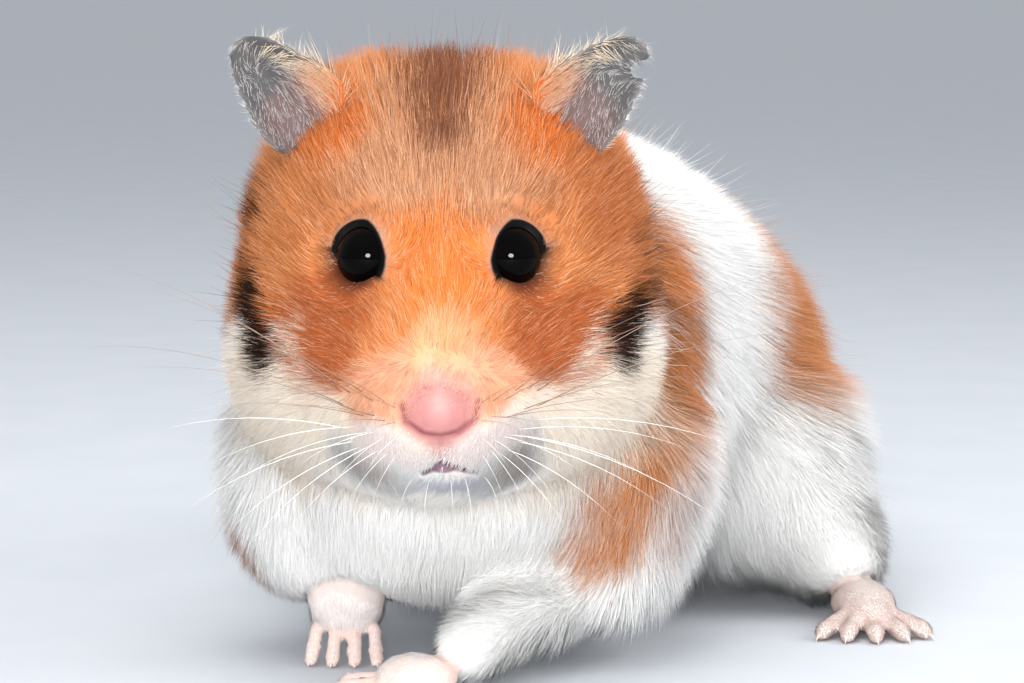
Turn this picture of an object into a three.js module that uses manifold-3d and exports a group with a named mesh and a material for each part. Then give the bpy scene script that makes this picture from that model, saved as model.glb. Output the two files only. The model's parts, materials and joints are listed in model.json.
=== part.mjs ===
// A Syrian hamster, life size, crouching with its head towards -Y and its rump behind it.
// Lengths are in millimetres, +Z is up, and +X is the animal's left. While it is modelled the
// nose is near X = 0; the last lines move the whole group so that its origin is under its middle.
// The outlines are those of the coat's tips. Each fleshy piece is a ball whose points are pushed
// out onto a smooth blend of named ellipsoids, and pieces are parted by thin cuts.
import * as THREE from "three";
import { mergeVertices } from "three/addons/utils/BufferGeometryUtils.js";
import Module from "manifold-3d";

const wasm = await Module();
wasm.setup();

// ---------------------------------------------------------------- driving dimensions
const GAP = 0.3; // the thin cut between neighbouring pieces
const HEAD_BLEND = 9; // how softly the lumps of the head run into each other
const BODY_BLEND = 13;
const LIMB_BLEND = 6;

const CROWN_WIDTH = 46; // across the head behind the eyes
const CROWN_HEIGHT = 71.4; // top of the head above the floor
const CHEEK_WIDTH = 53; // across the full cheeks
const MUZZLE_TIP = -27; // how far the muzzle reaches in front
const EYE_SPACING = 15.7; // between the middles of the eyes
const EYES_MIDDLE = 0.2; // how far their middle is to the left of X = 0
const EYE_HEIGHT = 50.1;
const EYE_DEPTH = -14.5; // so far in that about a quarter of the ball stands out of the coat
const EYE_RADIUS = 3.5;

const NOSE_MIDDLE = [0.3, MUZZLE_TIP + 1.1, 34.2];
const NOSE_RADII = [3.5, 2.6, 2.7];

const EAR_LENGTH = 16.2; // from the root, inside the head, to the tip
const EAR_WIDTH = 11.6;
const EAR_THICKNESS = 1.4;
const EAR_CUP = 3.4; // how far the ear's edges curl forward
const INNER_TAPER = 0.72; // how much narrower each half of the ear is at its tip
const OUTER_TAPER = 0.9;
const NOTCH_MIDDLE = [24.2, -3, 70.2]; // an old nick in the left ear's outer edge
const NOTCH_SIDES = [4.6, 9, 1.7];

const BACK_HEIGHT = 60; // top of the back above the floor
const TRUNK_WIDTH = 53;
const TAIL_LENGTH = 13;

const HEAD_DETAIL = 7; // divisions of the ball's edges for each piece
const TRUNK_DETAIL = 6;
const LIMB_DETAIL = 3;
const PALM_DETAIL = 1;
const SMALL_DETAIL = 2; // eyes and nose
const DIGIT_SIDES = 5;
const TIP_HEIGHT = -0.2; // of the claws' points, which the floor cuts flat

// ---------------------------------------------------------------- shapes from ellipsoids
// An ellipsoid by centre and radii, turned about X, then about Z, in degrees.
function lump(centre, radii, turnX = 0, turnZ = 0) {
  const turned = new THREE.Euler(
    THREE.MathUtils.degToRad(turnX),
    0,
    THREE.MathUtils.degToRad(turnZ),
    "ZYX",
  );
  return {
    centre: new THREE.Vector3(...centre),
    radii: new THREE.Vector3(...radii),
    unturn: new THREE.Quaternion().setFromEuler(turned).invert(),
  };
}

// The same lump on the left and on the right of the plane X = 0.
function pair([x, y, z], radii) {
  return [lump([x, y, z], radii), lump([-x, y, z], radii)];
}

// About how far a point is outside a lump; negative inside it.
function distanceToLump(shape, point) {
  const local = point.clone().sub(shape.centre).applyQuaternion(shape.unturn);
  const scaled = local.divide(shape.radii);
  const nearness = scaled.length();
  const slope = scaled.divide(shape.radii).length();
  if (slope < 1e-9) return -Math.min(shape.radii.x, shape.radii.y, shape.radii.z);
  return (nearness * (nearness - 1)) / slope;
}

// About how far a point is outside the smooth blend of several lumps.
function distanceToBlend(lumps, softness, point) {
  let nearest = Infinity;
  for (const shape of lumps) {
    const distance = distanceToLump(shape, point);
    if (nearest === Infinity) {
      nearest = distance;
      continue;
    }
    const overlap = Math.max(softness - Math.abs(nearest - distance), 0) / softness;
    nearest = Math.min(nearest, distance) - (overlap * overlap * softness) / 4;
  }
  return nearest;
}

// A solid from a closed geometry, without the seams and needle faces that its maker leaves.
function solid(geometry) {
  const bare = geometry.clone();
  bare.deleteAttribute("normal");
  bare.deleteAttribute("uv");
  const merged = mergeVertices(bare, 1e-4);
  const corners = merged.index.array;
  const faces = [];
  for (let i = 0; i < corners.length; i += 3) {
    const [a, b, c] = [corners[i], corners[i + 1], corners[i + 2]];
    if (a !== b && b !== c && c !== a) faces.push(a, b, c);
  }
  const vertProperties = new Float32Array(merged.attributes.position.array);
  const triVerts = new Uint32Array(faces);
  return new wasm.Manifold(new wasm.Mesh({ numProp: 3, vertProperties, triVerts }));
}

// A ball of rays from a centre, each stopped at the blend's outside, swollen by grow.
function flesh({ lumps, softness, centre, detail, grow = 0, reach = 90 }) {
  const ball = new THREE.IcosahedronGeometry(1, detail);
  const points = ball.attributes.position;
  const from = new THREE.Vector3(...centre);
  const isInside = (ray, length) => {
    const point = from.clone().addScaledVector(ray, length);
    return distanceToBlend(lumps, softness, point) < grow;
  };
  for (let i = 0; i < points.count; i++) {
    const ray = new THREE.Vector3().fromBufferAttribute(points, i).normalize();
    let length = reach;
    while (length > 0.5 && !isInside(ray, length)) length -= 0.5;
    let [near, far] = [length, length + 0.5];
    for (let halving = 0; halving < 14; halving++) {
      const middle = (near + far) / 2;
      if (isInside(ray, middle)) near = middle;
      else far = middle;
    }
    const edge = from.clone().addScaledVector(ray, near);
    points.setXYZ(i, edge.x, edge.y, edge.z);
  }
  return solid(ball);
}

// The same solid on the other side of the plane X = 0.
function mirrored(body) {
  return body.mirror([1, 0, 0]);
}

// A box by its middle and its sides, turned about X by degrees.
function block(middle, sides, turnX = 0) {
  const box = new THREE.BoxGeometry(...sides);
  box.rotateX(THREE.MathUtils.degToRad(turnX));
  box.translate(...middle);
  return solid(box);
}

// ---------------------------------------------------------------- head
const crownSide = CROWN_WIDTH / 2;
const cheekSide = CHEEK_WIDTH / 2;
const headLumps = [
  ...pair([8.4, 8, CROWN_HEIGHT - 18.3], [12.3, 18.5, 18.3]), // flat crown between the ears
  lump([crownSide - 11.8, 5, 50.5], [11.8, 17, 13.5]), // left temple, below the ear
  lump([13.6 - crownSide, 5, 49.8], [11.8, 17, 13.5]), // right temple, where the fur lies flatter
  lump([0, 6, CROWN_HEIGHT - 17.7], [10, 16, 15.6]), // the crown's middle
  lump([0, -3, 48], [17, 13, 14]), // forehead and sockets
  lump([0, -12, 41], [11.5, 13, 10], 32), // bridge of the nose, falling forward
  lump([0, MUZZLE_TIP + 9, 34.5], [7.6, 7.5, 6.4]), // blunt end of the muzzle
  ...pair([4.4, MUZZLE_TIP + 10.5, 31], [6, 7.5, 5]), // whisker pads
  lump([0, -11, 29.5], [7.5, 8.5, 4.8]), // lower jaw
  ...pair([10.5, -7.5, 34], [7.5, 8, 7.5]), // between the whisker pads and the cheeks
  lump([cheekSide - 12.5, 3, 37], [12.5, 14.5, 14]), // left cheek, over its pouch
  lump([13.5 - cheekSide, 3, 36.5], [12.5, 14.5, 14]), // right cheek
];

function headBlank(grow) {
  const centre = [0, 0, 46];
  return flesh({ lumps: headLumps, softness: HEAD_BLEND, centre, detail: HEAD_DETAIL, grow });
}

function eye(side, grow) {
  const ball = new THREE.IcosahedronGeometry(EYE_RADIUS + grow, SMALL_DETAIL);
  ball.translate(EYES_MIDDLE + (side * EYE_SPACING) / 2, EYE_DEPTH, EYE_HEIGHT);
  return solid(ball);
}

function nose(grow) {
  const ball = new THREE.IcosahedronGeometry(1, SMALL_DETAIL);
  const [width, length, height] = NOSE_RADII;
  ball.scale(width + grow, length + grow, height + grow);
  ball.translate(...NOSE_MIDDLE);
  return solid(ball);
}

// An ear is a thin leaf, cupped forward, that leans outwards from the side of the crown.
const earRoot = new THREE.Vector3(12.1, -2.8, 62.4);
const earAlong = new THREE.Vector3(0.72, 0.02, 0.69).normalize();
const earFacing = new THREE.Vector3(0.3, -0.93, 0.2).normalize();

function ear(side, grow) {
  const leaf = new THREE.SphereGeometry(1, 18, 6);
  const points = leaf.attributes.position;
  const facing = earFacing.clone().addScaledVector(earAlong, -earFacing.dot(earAlong)).normalize();
  const across = new THREE.Vector3().crossVectors(earAlong, facing);
  for (let i = 0; i < points.count; i++) {
    const [x, y, z] = [points.getX(i), points.getY(i), points.getZ(i)];
    const along = (z * (1 + 0.1 * x * x) + 1) / 2;
    const width = EAR_WIDTH / 2 + grow;
    const taper = x > 0 ? OUTER_TAPER : INNER_TAPER;
    const breadth = x * width * (1.32 + 0.15 * z * z - taper * along);
    const curl = EAR_CUP * x * x * (1 - 0.45 * along);
    const thickness = Math.sign(y) * Math.abs(y) ** 0.6 * (EAR_THICKNESS / 2 + grow);
    const spot = earRoot
      .clone()
      .addScaledVector(earAlong, along * EAR_LENGTH + z * grow)
      .addScaledVector(across, breadth)
      .addScaledVector(facing, curl + thickness - 1.5 * along);
    points.setXYZ(i, spot.x, spot.y, spot.z);
  }
  const body = upright(solid(leaf), leaf);
  return side > 0 ? body : mirrored(body);
}

// A solid whose faces point out, whichever way round its mapping turned them.
function upright(body, geometry) {
  if (body.volume() > 0) return body;
  const turned = geometry.clone();
  const corners = turned.index.array;
  for (let i = 0; i < corners.length; i += 3) {
    [corners[i], corners[i + 1]] = [corners[i + 1], corners[i]];
  }
  return solid(turned);
}

// ---------------------------------------------------------------- trunk, neck and tail
const trunkSide = TRUNK_WIDTH / 2;
const trunkLumps = [
  lump([1, 9, 21.5], [24.5, 18, 15.5]), // chest between the forelegs
  lump([3, 19, 47], [23.5, 17, 20]), // nape
  lump([8, 26, 35], [trunkSide - 1, 22, BACK_HEIGHT - 35.5]), // withers
  lump([16, 44, 33], [trunkSide, 26, BACK_HEIGHT - 33], 0, -20), // middle of the back
  lump([25, 64, 26], [trunkSide, 25, 24.5], 0, -24), // rump
];

function trunkBlank() {
  const centre = [13, 36, 33];
  return flesh({ lumps: trunkLumps, softness: BODY_BLEND, centre, detail: TRUNK_DETAIL });
}

// The neck is the slice behind the ears and cheeks, down to the chest.
const NECK_LENGTH = 9;
const NECK_LEAN = 22; // degrees, the top further back
const NECK_REACH = 100; // wider and taller than the head that the slice passes through
const NECK_DROP = 72;
const neckMiddle = [0, 21, 58];

function neckSlice(grow) {
  const sides = [NECK_REACH, NECK_LENGTH + 2 * grow, NECK_DROP + 2 * grow];
  return block(neckMiddle, sides, -NECK_LEAN);
}

// All that is behind the neck's front face, which is where the head stops.
function behindHead(grow) {
  const lean = THREE.MathUtils.degToRad(NECK_LEAN);
  const back = NECK_REACH / 2 - NECK_LENGTH / 2 - grow;
  const [x, y, z] = neckMiddle;
  const middle = [x, y + back * Math.cos(lean), z - back * Math.sin(lean)];
  return block(middle, [NECK_REACH, NECK_REACH, 1.2 * NECK_REACH], -NECK_LEAN);
}

const tailRoot = new THREE.Vector3(32, 82.5, 16);
const tailWay = new THREE.Vector3(0.38, 0.85, -0.36).normalize();

function tail(grow) {
  const profile = [
    [0, 0],
    [2.6, 1],
    [2.4, 4],
    [1.9, 8],
    [1.2, TAIL_LENGTH - 1],
    [0, TAIL_LENGTH],
  ];
  const outline = profile.map(([radius, along]) => {
    return new THREE.Vector2(radius === 0 ? 0 : radius + grow, along);
  });
  const spindle = new THREE.LatheGeometry(outline, 10);
  spindle.applyQuaternion(
    new THREE.Quaternion().setFromUnitVectors(new THREE.Vector3(0, 1, 0), tailWay),
  );
  spindle.translate(tailRoot.x, tailRoot.y, tailRoot.z);
  return upright(solid(spindle), spindle);
}

// ---------------------------------------------------------------- legs
// Each leg is one or two stretches, each cast from its own centre.
const legs = {
  foreleg_left: [
    {
      centre: [22, 9, 17],
      lumps: [
        lump([22.5, 11, 22], [11, 13, 15]), // shoulder and upper arm
        lump([19.5, 4.5, 11.2], [8.6, 9, 7.2]), // elbow
      ],
    },
    {
      centre: [10, -5.5, 6.4],
      lumps: [
        lump([11.8, -4, 8], [12, 5.4, 5.1], 0, 42), // forearm, just clear of the floor
        lump([3, -12, 4.3], [5, 3.6, 3.6], 0, 32), // wrist
      ],
    },
  ],
  foreleg_right: [
    {
      centre: [-16, 9, 17],
      lumps: [
        lump([-17.6, 9.5, 24], [9.8, 12, 16.5]), // shoulder and upper arm
        lump([-13, 8, 13.5], [6, 6.5, 6]), // forearm, held up
      ],
    },
  ],
  hindleg_left: [
    {
      centre: [42, 41, 16],
      lumps: [
        lump([38, 45, 19.5], [16.5, 18, 17]), // haunch
        lump([47.5, 36, 10], [7.6, 10, 8.5]), // shank
        lump([51, 32, 6.5], [4.8, 6.5, 5]), // hock
      ],
    },
  ],
  hindleg_right: [
    {
      centre: [1, 58, 16],
      lumps: [
        lump([3, 60, 19.5], [16, 17.5, 17]), // haunch
        lump([-3, 57, 10], [8, 9.5, 8.5]), // shank
        lump([-4.5, 56, 6], [5, 6.5, 4.8]), // hock
      ],
    },
  ],
};

function leg(name, grow) {
  const cast = ({ centre, lumps }) => {
    return flesh({ lumps, softness: LIMB_BLEND, centre, detail: LIMB_DETAIL, grow, reach: 45 });
  };
  return legs[name].map(cast).reduce((whole, stretch) => whole.add(stretch));
}

// ---------------------------------------------------------------- paws
// A digit is a spindle with a pad near its end, drawn out to a claw and bent along a curve in
// an upright plane. side is the level direction square to that plane.
const DIGIT_PROFILE = [
  [0, 0],
  [0.98, 0.1],
  [1.1, 0.66],
  [0.85, 0.82],
  [0.3, 0.9],
  [0, 1],
];

function digit({ root, bend, tip, side, thickness, grow }) {
  const curve = new THREE.QuadraticBezierCurve3(root, bend, tip);
  const outline = DIGIT_PROFILE.map(([radius, along]) => {
    return new THREE.Vector2(radius === 0 ? 0 : radius * thickness + grow, along);
  });
  const spindle = new THREE.LatheGeometry(outline, DIGIT_SIDES);
  const points = spindle.attributes.position;
  for (let i = 0; i < points.count; i++) {
    const along = points.getY(i);
    const spot = curve.getPoint(along);
    const way = curve.getTangent(along);
    const above = new THREE.Vector3().crossVectors(way, side).normalize();
    spot.addScaledVector(side, points.getX(i)).addScaledVector(above, points.getZ(i));
    points.setXYZ(i, spot.x, spot.y, spot.z);
  }
  return upright(solid(spindle), spindle);
}

// A paw by its palm, the way its toes point in plan, and how wide they spread, in degrees.
// knuckle is how high above the floor the digits' bend is drawn.
// Each digit starts reach in front of the palm's middle, in a row as wide as row says.
const paws = {
  forepaw_left: {
    palm: [-2.4, -14.6, 2.5],
    size: [4.8, 3.9, 2.8],
    heading: 190,
    spread: 58,
    digits: 4,
    length: 8.6,
    reach: 2.2,
    row: 5.4,
    thickness: 1.05,
    knuckle: 2.3,
  },
  forepaw_right: {
    palm: [-11.3, 4.6, 7.6],
    size: [4.8, 3, 4.8],
    heading: 266,
    spread: 26,
    digits: 4,
    length: 4.2,
    reach: 0.4,
    row: 6.6,
    thickness: 0.9,
    knuckle: 0.6,
  },
  hindfoot_left: {
    palm: [52.3, 25.5, 2.6],
    size: [4.2, 8.5, 2.9],
    heading: 272,
    spread: 70,
    digits: 5,
    length: 9,
    reach: 4,
    row: 5.4,
    thickness: 1.25,
    knuckle: 2.4,
  },
  hindfoot_right: {
    palm: [-9, 51.8, 2.6],
    size: [4.2, 8.5, 2.9],
    heading: 245,
    spread: 60,
    digits: 5,
    length: 9,
    reach: 4,
    row: 5.4,
    thickness: 1.25,
    knuckle: 2.4,
  },
};

function paw(name, grow) {
  const { palm, size, heading, spread, digits, length, reach, row, thickness, knuckle } = paws[name];
  const middle = new THREE.Vector3(...palm);
  const ball = new THREE.IcosahedronGeometry(1, PALM_DETAIL);
  const longWay = name.startsWith("hind") ? heading - 270 : 0;
  ball.scale(size[0] + grow, size[1] + grow, size[2] + grow);
  ball.rotateZ(THREE.MathUtils.degToRad(longWay));
  ball.translate(...palm);
  let body = solid(ball);
  for (let i = 0; i < digits; i++) {
    const share = i / (digits - 1) - 0.5; // from -0.5 to 0.5 across the paw
    const angle = THREE.MathUtils.degToRad(heading + share * spread);
    const centreWay = THREE.MathUtils.degToRad(heading);
    const outward = new THREE.Vector3(Math.cos(angle), Math.sin(angle), 0);
    const forward = new THREE.Vector3(Math.cos(centreWay), Math.sin(centreWay), 0);
    const across = new THREE.Vector3(-forward.y, forward.x, 0);
    const root = middle.clone().addScaledVector(across, share * row);
    root.addScaledVector(forward, reach);
    root.z *= 0.7;
    const reachOut = length * (1 - 0.5 * share * share);
    const bend = root.clone().addScaledVector(outward, reachOut * 0.6);
    bend.z = knuckle;
    const tip = root.clone().addScaledVector(outward, reachOut);
    tip.z = TIP_HEIGHT;
    const side = new THREE.Vector3(-outward.y, outward.x, 0);
    body = body.add(digit({ root, bend, tip, side, thickness, grow }));
  }
  return body;
}

// ---------------------------------------------------------------- colours
const COAT_ORANGE = new THREE.MeshStandardMaterial({ color: 0xdf8b48, roughness: 0.85, metalness: 0 });
const COAT_WHITE = new THREE.MeshStandardMaterial({ color: 0xf0f0ee, roughness: 0.85, metalness: 0 });
const EAR_SKIN = new THREE.MeshStandardMaterial({ color: 0x8f8886, roughness: 0.7, metalness: 0 });
const PAW_SKIN = new THREE.MeshStandardMaterial({ color: 0xefcdc6, roughness: 0.6, metalness: 0 });
const NOSE_SKIN = new THREE.MeshStandardMaterial({ color: 0xe9a09e, roughness: 0.5, metalness: 0 });
const EYE_BLACK = new THREE.MeshStandardMaterial({ color: 0x0c0a0a, roughness: 0.05, metalness: 0 });

// ---------------------------------------------------------------- parting and assembly
const FLOOR_SIDE = 300; // wide enough to pass under the whole animal
const floorCut = block([0, 0, -FLOOR_SIDE / 2], [FLOOR_SIDE, FLOOR_SIDE, FLOOR_SIDE]);
const hamster = new THREE.Group();

const MOST_SLIVER = 0.01; // the share of a piece that its cuts may leave over as loose slivers

// The largest piece of a body that its cuts have broken up. Only slivers may be left over, and
// a neighbour has to stand out of the body, because one sunk in it would leave a sealed hollow.
function largest(name, body) {
  const pieces = body.decompose().sort((a, b) => b.volume() - a.volume());
  const leftOver = body.volume() - pieces[0].volume();
  if (pieces.some((piece) => piece.volume() < 0)) throw new Error(name + " has a sealed hollow");
  if (leftOver > MOST_SLIVER * body.volume()) throw new Error(name + " is cut in two");
  return pieces[0];
}

// A body as a named mesh, cut clear of its swollen neighbours and flat at the floor.
function addNode(name, body, neighbours, material) {
  let cut = body.subtract(floorCut);
  for (const neighbour of neighbours) cut = cut.subtract(neighbour);
  const { vertProperties, triVerts } = largest(name, cut).getMesh();
  const geometry = new THREE.BufferGeometry();
  geometry.setAttribute("position", new THREE.BufferAttribute(vertProperties, 3));
  geometry.setIndex(new THREE.BufferAttribute(triVerts, 1));
  geometry.computeVertexNormals();
  const mesh = new THREE.Mesh(geometry, material);
  mesh.name = name;
  hamster.add(mesh);
}

const swollenEyes = [eye(1, GAP), eye(-1, GAP)];
const swollenEars = [ear(1, GAP), ear(-1, GAP)];
const swollenNose = nose(GAP);
const pawNames = Object.keys(paws);
const legNames = Object.keys(legs);
const swollenPaws = pawNames.map((name) => paw(name, GAP));
const swollenLegs = legNames.map((name) => leg(name, GAP));
const swollenHead = headBlank(GAP).subtract(behindHead(0));

addNode("eye_left", eye(1, 0), [], EYE_BLACK);
addNode("eye_right", eye(-1, 0), [], EYE_BLACK);
addNode("nose", nose(0), [], NOSE_SKIN);
addNode("ear_left", ear(1, 0), [block(NOTCH_MIDDLE, NOTCH_SIDES)], EAR_SKIN);
addNode("ear_right", ear(-1, 0), [], EAR_SKIN);
pawNames.forEach((name) => addNode(name, paw(name, 0), [], PAW_SKIN));
const headNeighbours = [...swollenEyes, ...swollenEars, swollenNose, behindHead(GAP)];
addNode("head", headBlank(0), headNeighbours, COAT_ORANGE);
legNames.forEach((name) => {
  addNode(name, leg(name, 0), [...swollenPaws, swollenHead], COAT_WHITE);
});

const torso = trunkBlank().add(headBlank(0));
const limbsAndHead = [swollenHead, ...swollenEars, ...swollenLegs, ...swollenPaws];
addNode("neck", torso.intersect(neckSlice(0)), limbsAndHead, COAT_ORANGE);
addNode("trunk", torso, [neckSlice(GAP), tail(GAP), ...limbsAndHead], COAT_WHITE);
addNode("tail", tail(0), [], PAW_SKIN);

// The origin is on the floor, under the middle of the whole animal.
const box = new THREE.Box3().setFromObject(hamster);
const middle = box.getCenter(new THREE.Vector3());
hamster.position.set(-middle.x, -middle.y, -box.min.z);

export default hamster;
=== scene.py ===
# %% [markdown]
# # A Syrian hamster
# The animal crouches with its head to the front, one forepaw hanging and the other set down in
# front. The frame holds its outline to the tips of the coat. This lesson grows a skin inside that
# outline, lays a coat of small solid tufts over it, and adds the eyes, claws and whiskers. Lengths
# are in millimetres in the animal's own frame, which has X = 0 at the nose.

# %% Load the frame
import json
import math

import bpy
import numpy as np
from mathutils import Matrix, Vector
from mathutils.bvhtree import BVHTree

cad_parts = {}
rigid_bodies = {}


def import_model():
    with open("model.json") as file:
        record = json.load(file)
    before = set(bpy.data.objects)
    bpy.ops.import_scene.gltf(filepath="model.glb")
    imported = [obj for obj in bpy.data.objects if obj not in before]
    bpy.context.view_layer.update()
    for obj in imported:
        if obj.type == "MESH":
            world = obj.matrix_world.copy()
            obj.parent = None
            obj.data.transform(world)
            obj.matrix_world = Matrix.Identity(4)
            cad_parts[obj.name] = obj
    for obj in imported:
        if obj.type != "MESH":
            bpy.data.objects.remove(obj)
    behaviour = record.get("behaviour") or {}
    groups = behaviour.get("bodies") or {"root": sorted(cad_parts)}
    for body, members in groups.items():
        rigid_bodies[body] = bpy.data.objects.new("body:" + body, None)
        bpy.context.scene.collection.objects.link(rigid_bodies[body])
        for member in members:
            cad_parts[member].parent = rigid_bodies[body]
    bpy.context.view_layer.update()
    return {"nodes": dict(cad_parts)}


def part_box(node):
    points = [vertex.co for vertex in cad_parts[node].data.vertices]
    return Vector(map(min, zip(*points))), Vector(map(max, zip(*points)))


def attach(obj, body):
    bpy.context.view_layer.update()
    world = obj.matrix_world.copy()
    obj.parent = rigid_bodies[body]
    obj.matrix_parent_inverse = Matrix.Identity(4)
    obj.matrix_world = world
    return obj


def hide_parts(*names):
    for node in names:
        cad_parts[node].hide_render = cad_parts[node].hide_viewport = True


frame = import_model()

nodes = frame["nodes"]
rng = np.random.default_rng(7)
print("nodes:", len(nodes))

# %% [markdown]
# The frame's zero is under the middle of the whole animal, but a face is easiest to describe from
# its own middle line. The eyes are the surest marks for finding that line again, so the shift
# between the two frames is worked out from the boxes of the two eye nodes.

# %% The animal's own frame
MM = 0.001
EYE_DEPTH = -14.5
EYE_HEIGHT = 50.1
EYE_HALF_SPACING = 7.85
EYES_MIDDLE = 0.2
EYE_RADIUS = 3.5


def node_middle(name):
    low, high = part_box(name)
    return (np.array(low) + np.array(high)) / 2


eyes_middle = (node_middle("eye_left") + node_middle("eye_right")) / 2
ORIGIN = eyes_middle - np.array([EYES_MIDDLE, EYE_DEPTH, EYE_HEIGHT]) * MM


def to_row(points):
    """Points in the animal's own frame, in mm, as metres in the row frame."""
    return ORIGIN + np.asarray(points, float) * MM


def to_own(points):
    return (np.asarray(points, float) - ORIGIN) / MM


print("own frame's zero in the row frame:", np.round(ORIGIN, 4))

# %% [markdown]
# The camera looks at the face from a third of a metre away and a little above, with a long lens.
# Its height, distance and tilt are real sizes, so that turning it round the animal stays sensible.

# %% Camera
CAMERA_PLACE = (8.3, -360, 83)
CAMERA_TILT = math.radians(7)
LENS_MM = 110.1
camera_data = bpy.data.cameras.new("camera")
camera_data.lens = LENS_MM
camera_data.clip_start = 0.01
camera = bpy.data.objects.new("camera", camera_data)
camera.location = to_row(CAMERA_PLACE)
camera.rotation_euler = (math.pi / 2 - CAMERA_TILT, 0, 0)
bpy.context.scene.collection.objects.link(camera)
bpy.context.scene.camera = camera
bpy.context.scene.view_settings.view_transform = "Standard"
print("camera at", [round(v, 3) for v in camera.location])

# %% [markdown]
# Numbers that vary over the body, such as the depth of the coat, are worked out for many points
# at once. These helpers do that: soft steps, soft spots round a point or along a line, and a
# gentle ripple that keeps edges from being too clean.

# %% Helpers for fields over the body
def unit(vectors):
    return vectors / (np.linalg.norm(vectors, axis=-1, keepdims=True) + 1e-12)


def distance(points, place):
    return np.linalg.norm(points - np.array(place), axis=1)


def step(value, edge, width):
    """0 below the edge and 1 above it, rising softly over the width."""
    share = np.clip((value - edge) / width + 0.5, 0, 1)
    return share * share * (3 - 2 * share)


def spot(points, middle, radii, softness=0.5):
    """1 inside an ellipsoid and 0 outside, softened by a share of its radii."""
    reach = np.linalg.norm((points - np.array(middle)) / np.array(radii), axis=1)
    return 1 - step(reach, 1.0, softness)


def streak(points, corners, width, softness):
    """1 within a width of a line through some corners, and 0 away from it."""
    nearest = np.full(len(points), np.inf)
    for a, b in zip(corners[:-1], corners[1:]):
        a, b = np.array(a, float), np.array(b, float)
        share = np.clip((points - a) @ (b - a) / ((b - a) @ (b - a)), 0, 1)
        away = np.linalg.norm(points - a - share[:, None] * (b - a), axis=1)
        nearest = np.minimum(nearest, away)
    return 1 - step(nearest, width, softness)


def ripple(points, scale, seed):
    """A smooth wandering value of about -1 to 1, whose bumps are a scale apart."""
    draw = np.random.default_rng(seed)
    total = np.zeros(len(points))
    for _ in range(7):
        way = unit(draw.normal(size=3)) * draw.uniform(0.7, 1.5)
        total += np.sin(points @ way * 2 * math.pi / scale + draw.uniform(0, 6.28))
    return total / 3.2


# %% [markdown]
# One skin lies under the whole coat. It could be sculpted afresh, but the frame already gives the
# true outline, so copies of its fleshy nodes are joined, melted into one surface by a voxel
# remesh, smoothed, and drawn in by the depth of the coat. Ears, paws, tail and nose are nearly
# bare, so they join the drawn-in body at their full size in a second, finer remesh.

# %% Mesh helpers
def select_only(piece):
    bpy.ops.object.select_all(action="DESELECT")
    piece.select_set(True)
    bpy.context.view_layer.objects.active = piece


def join_all(pieces):
    """Joins all the pieces into the first of them."""
    select_only(pieces[0])
    for piece in pieces:
        piece.select_set(True)
    bpy.ops.object.join()
    return pieces[0]


def joined_copy(names, new_name):
    """One mesh object from merged copies of some nodes."""
    copies = []
    for name in names:
        copy = bpy.data.objects.new(new_name, nodes[name].data.copy())
        bpy.context.scene.collection.objects.link(copy)
        copies.append(copy)
    piece = join_all(copies)
    merge_doubles(piece)
    return piece


def merge_doubles(piece):
    select_only(piece)
    bpy.ops.object.mode_set(mode="EDIT")
    bpy.ops.mesh.select_all(action="SELECT")
    bpy.ops.mesh.remove_doubles(threshold=0.00001)
    bpy.ops.mesh.normals_make_consistent(inside=False)
    bpy.ops.object.mode_set(mode="OBJECT")


def apply_modifier(piece, kind, **settings):
    select_only(piece)
    modifier = piece.modifiers.new(kind.lower(), kind)
    for key, value in settings.items():
        setattr(modifier, key, value)
    bpy.ops.object.modifier_apply(modifier=modifier.name)


# %% Reading and writing points
def read(items, field, size, kind=float):
    """One field of every item, as an array with a row for each."""
    flat = np.empty(len(items) * size, kind)
    items.foreach_get(field, flat)
    return flat.reshape(-1, size)


def points_of(piece):
    return to_own(read(piece.data.vertices, "co", 3))


def normals_of(piece):
    return read(piece.data.vertices, "normal", 3, np.float32).astype(float)


def set_points(piece, points):
    piece.data.vertices.foreach_set("co", to_row(points).ravel())
    piece.data.update()


# %% [markdown]
# The coat is shortest on the muzzle and round the eyes, deeper over the cheeks, and deepest on the
# back. The same depth later sets how long the hairs are and how far they stand out.

# %% Depth of the coat
NOSE_TIP = np.array([0.3, -27.0, 33.5])
TAIL_ROOT = np.array([32, 82.5, 16])
PALMS = {
    "forepaw_left": (-2.4, -14.6, 2.5),
    "forepaw_right": (-11.3, 4.6, 7.6),
    "hindfoot_left": (52.3, 25.5, 2.6),
    "hindfoot_right": (-9.0, 51.8, 2.6),
}
EYES = {
    side: np.array([EYES_MIDDLE + side * EYE_HALF_SPACING, EYE_DEPTH, EYE_HEIGHT]) for side in (-1, 1)
}


def coat_depth(points):
    from_nose = distance(points, NOSE_TIP)
    depth = 0.6 + 2.7 * step(from_nose, 30, 44)
    depth = np.minimum(depth, 0.2 + 0.07 * np.clip(from_nose - 4, 0, None))
    depth = depth + 1.2 * step(points[:, 1], 26, 26)
    short_hair = [(TAIL_ROOT, 4, 0.3, 0.3)]
    short_hair += [(middle, 3.5, 0.45, 0.16) for middle in EYES.values()]
    short_hair += [(palm, 5, 0.4, 0.16) for palm in PALMS.values()]
    for place, radius, least, rise in short_hair:
        depth = np.minimum(depth, least + rise * np.clip(distance(points, place) - radius, 0, None))
    return depth


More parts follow.
